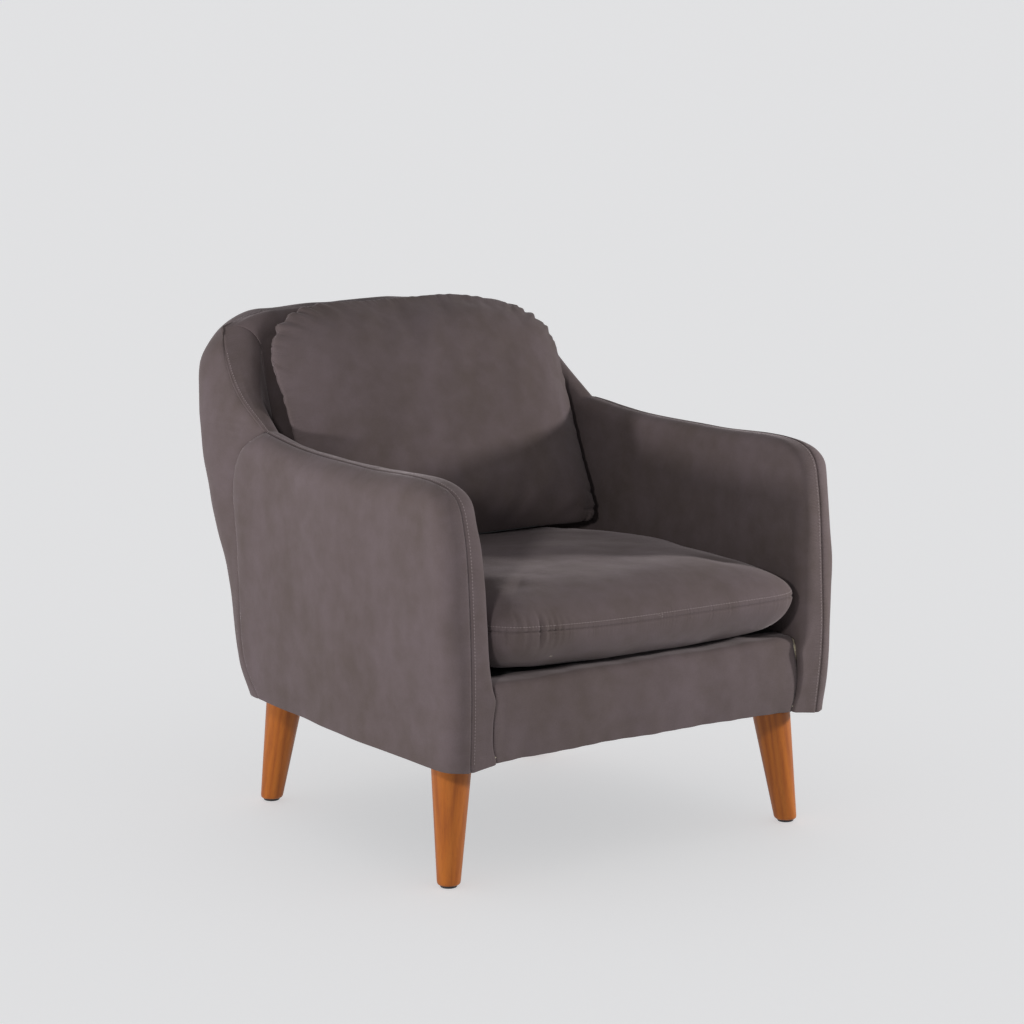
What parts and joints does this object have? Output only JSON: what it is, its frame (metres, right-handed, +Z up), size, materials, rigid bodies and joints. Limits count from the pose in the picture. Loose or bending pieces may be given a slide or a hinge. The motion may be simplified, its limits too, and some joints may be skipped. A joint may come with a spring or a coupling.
{
  "type": "upholstered armchair",
  "caption": "Low upholstered lounge armchair with curved arms running into the back, a loose bullnose seat cushion, a loose back pillow and splayed tapered wooden legs.",
  "frame": {"origin": "middle of the chair's footprint box, on the floor", "axes": "+Z up, -Y the way the sitter faces, +X to the right of a person who faces the chair's front"},
  "size_m": [0.752, 0.865, 0.8065],
  "materials": {
    "upholstery": "matte",
    "lining": "matte",
    "foam": "matte",
    "webbing": "matte",
    "stained_wood": "satin",
    "frame_timber": "matte",
    "zinc_steel": "satin",
    "spring_steel": "satin",
    "black_plastic": "matte"
  },
  "bodies": {
    "chair": {"arm_inner_cover_right": "upholstery", "arm_inner_cover_left": "upholstery", "arm_outer_cover_right": "upholstery", "arm_outer_cover_left": "upholstery", "back_outer_cover": "upholstery", "back_inner_cover": "upholstery", "front_rail_cover": "upholstery", "deck_cover": "lining", "front_leg_right": "stained_wood", "front_leg_left": "stained_wood", "front_glide_right": "black_plastic", "front_glide_left": "black_plastic", "front_leg_plate_right": "zinc_steel", "front_leg_plate_left": "zinc_steel", "front_hanger_bolt_right": "zinc_steel", "front_hanger_bolt_left": "zinc_steel", "rear_leg_right": "stained_wood", "rear_leg_left": "stained_wood", "rear_glide_right": "black_plastic", "rear_glide_left": "black_plastic", "rear_leg_plate_right": "zinc_steel", "rear_leg_plate_left": "zinc_steel", "rear_hanger_bolt_right": "zinc_steel", "rear_hanger_bolt_left": "zinc_steel", "front_rail": "frame_timber", "side_rail_right": "frame_timber", "side_rail_left": "frame_timber", "rear_rail": "frame_timber", "dust_cover": "lining", "front_corner_block_right": "frame_timber", "front_corner_block_left": "frame_timber", "rear_corner_block_right": "frame_timber", "rear_corner_block_left": "frame_timber", "arm_rail_right": "frame_timber", "arm_rail_left": "frame_timber", "arm_post_right": "frame_timber", "arm_post_left": "frame_timber", "back_post_right": "frame_timber", "back_post_left": "frame_timber", "back_top_rail": "frame_timber", "back_lower_rail": "frame_timber", "back_webbing_1": "webbing", "back_webbing_2": "webbing", "back_webbing_3": "webbing", "seat_spring_1": "spring_steel", "seat_spring_2": "spring_steel", "seat_spring_3": "spring_steel", "seat_spring_4": "spring_steel", "deck_pad": "foam", "arm_padding_right": "foam", "arm_padding_left": "foam", "back_foam": "foam"},
    "seat_cushion": {"seat_cushion_cover": "upholstery", "seat_cushion_core": "foam", "seat_zip": "black_plastic"},
    "back_cushion": {"back_cushion_cover": "upholstery", "back_cushion_fill": "foam", "back_zip": "black_plastic"},
    "seat_zip_slider": {"seat_zip_slider": "zinc_steel"},
    "back_zip_slider": {"back_zip_slider": "zinc_steel"}
  },
  "joints": [
    {"name": "seat_cushion_slide", "type": "slide", "parent": "chair", "child": "seat_cushion", "axis": [0, -1, 0], "range_m": [0, 0.64]},
    {"name": "back_cushion_lift", "type": "slide", "parent": "chair", "child": "back_cushion", "axis": [0, 0.2558, 0.9667], "range_m": [0, 0.42]},
    {"name": "seat_zip_run", "type": "slide", "parent": "seat_cushion", "child": "seat_zip_slider", "axis": [1, 0, 0], "range_m": [0, 0.348]},
    {"name": "back_zip_run", "type": "slide", "parent": "back_cushion", "child": "back_zip_slider", "axis": [1, 0, 0], "range_m": [0, 0.268]}
  ]
}
